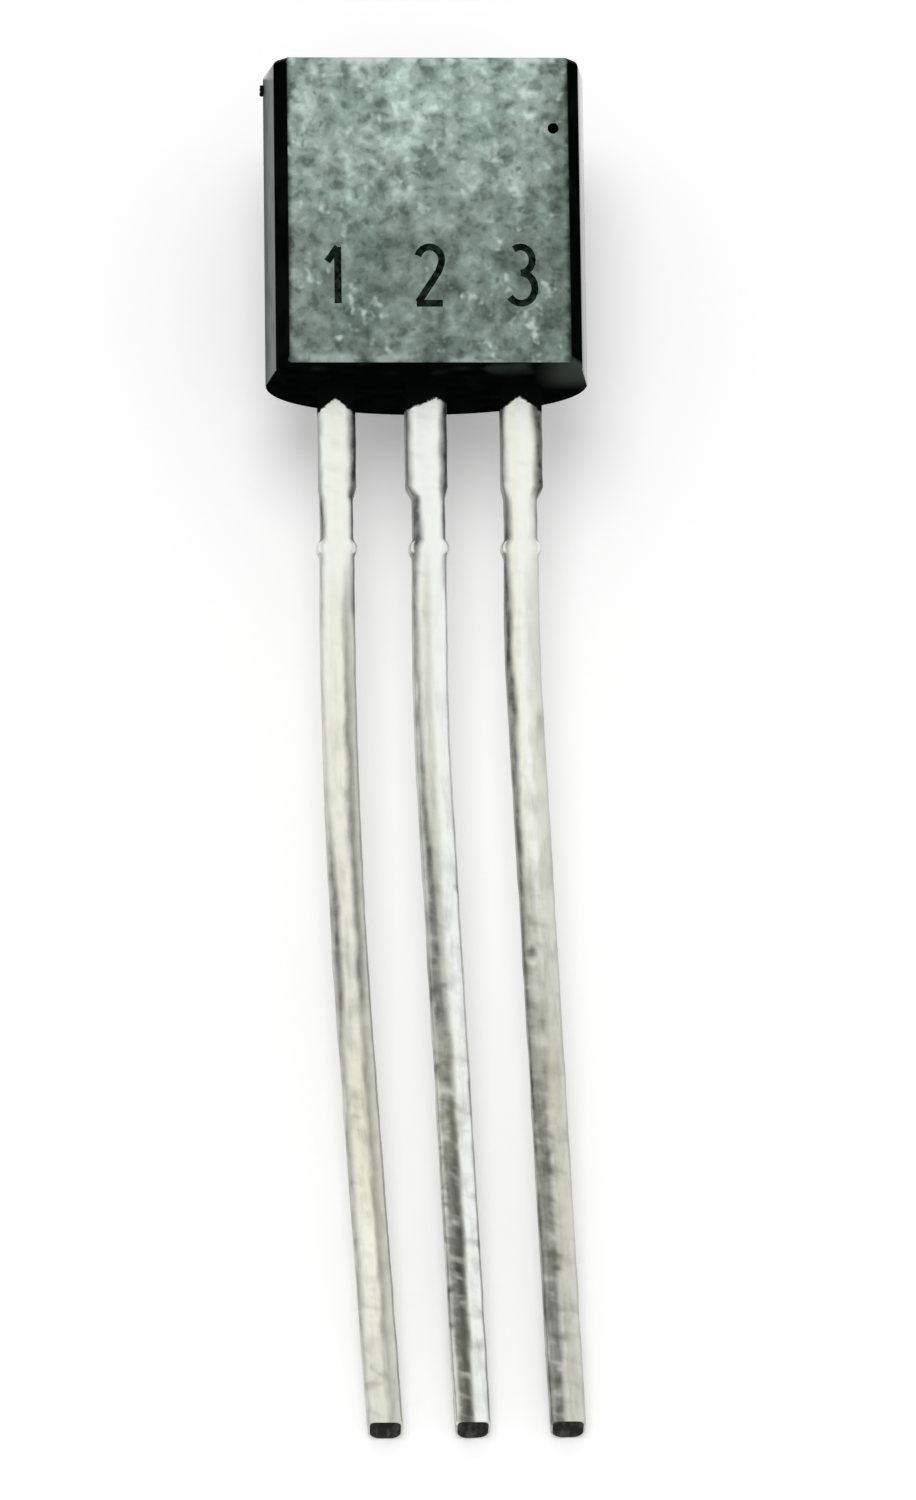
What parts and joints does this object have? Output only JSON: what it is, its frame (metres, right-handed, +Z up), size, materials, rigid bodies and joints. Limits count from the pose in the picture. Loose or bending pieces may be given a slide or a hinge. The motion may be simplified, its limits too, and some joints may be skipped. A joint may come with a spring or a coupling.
{
  "type": "to-92 transistor",
  "caption": "Small plastic transistor with a flat face and a round back, lying face up on its long flat leads.",
  "frame": {"origin": "on the table under the middle of the part as it lies, halfway between the lead tips and the top of the body", "axes": "+Z up from the table, +Y from the lead tips toward the top of the body, +X to the emitter lead's side seen from above; the body's own height axis is tilted 7.8 degrees from Y, tips down"},
  "size_m": [0.0045, 0.019, 0.004],
  "materials": {
    "moulding_compound": "black filled epoxy, satin where the mould was polished, greenish grey and sandy on the flat face",
    "tinned_lead": "dipped matte tin, a little uneven, tarnished toward the tips",
    "silicon": "polished silicon",
    "die_bond": "dull metal-filled bond layer",
    "bond_wire": "bright drawn copper"
  },
  "bodies": {
    "root": {"epoxy_body": "moulding_compound", "collector_lead": "tinned_lead", "base_lead": "tinned_lead", "emitter_lead": "tinned_lead", "silicon_die": "silicon", "die_attach": "die_bond", "base_bond_wire": "bond_wire", "emitter_bond_wire": "bond_wire"}
  },
  "joints": []
}
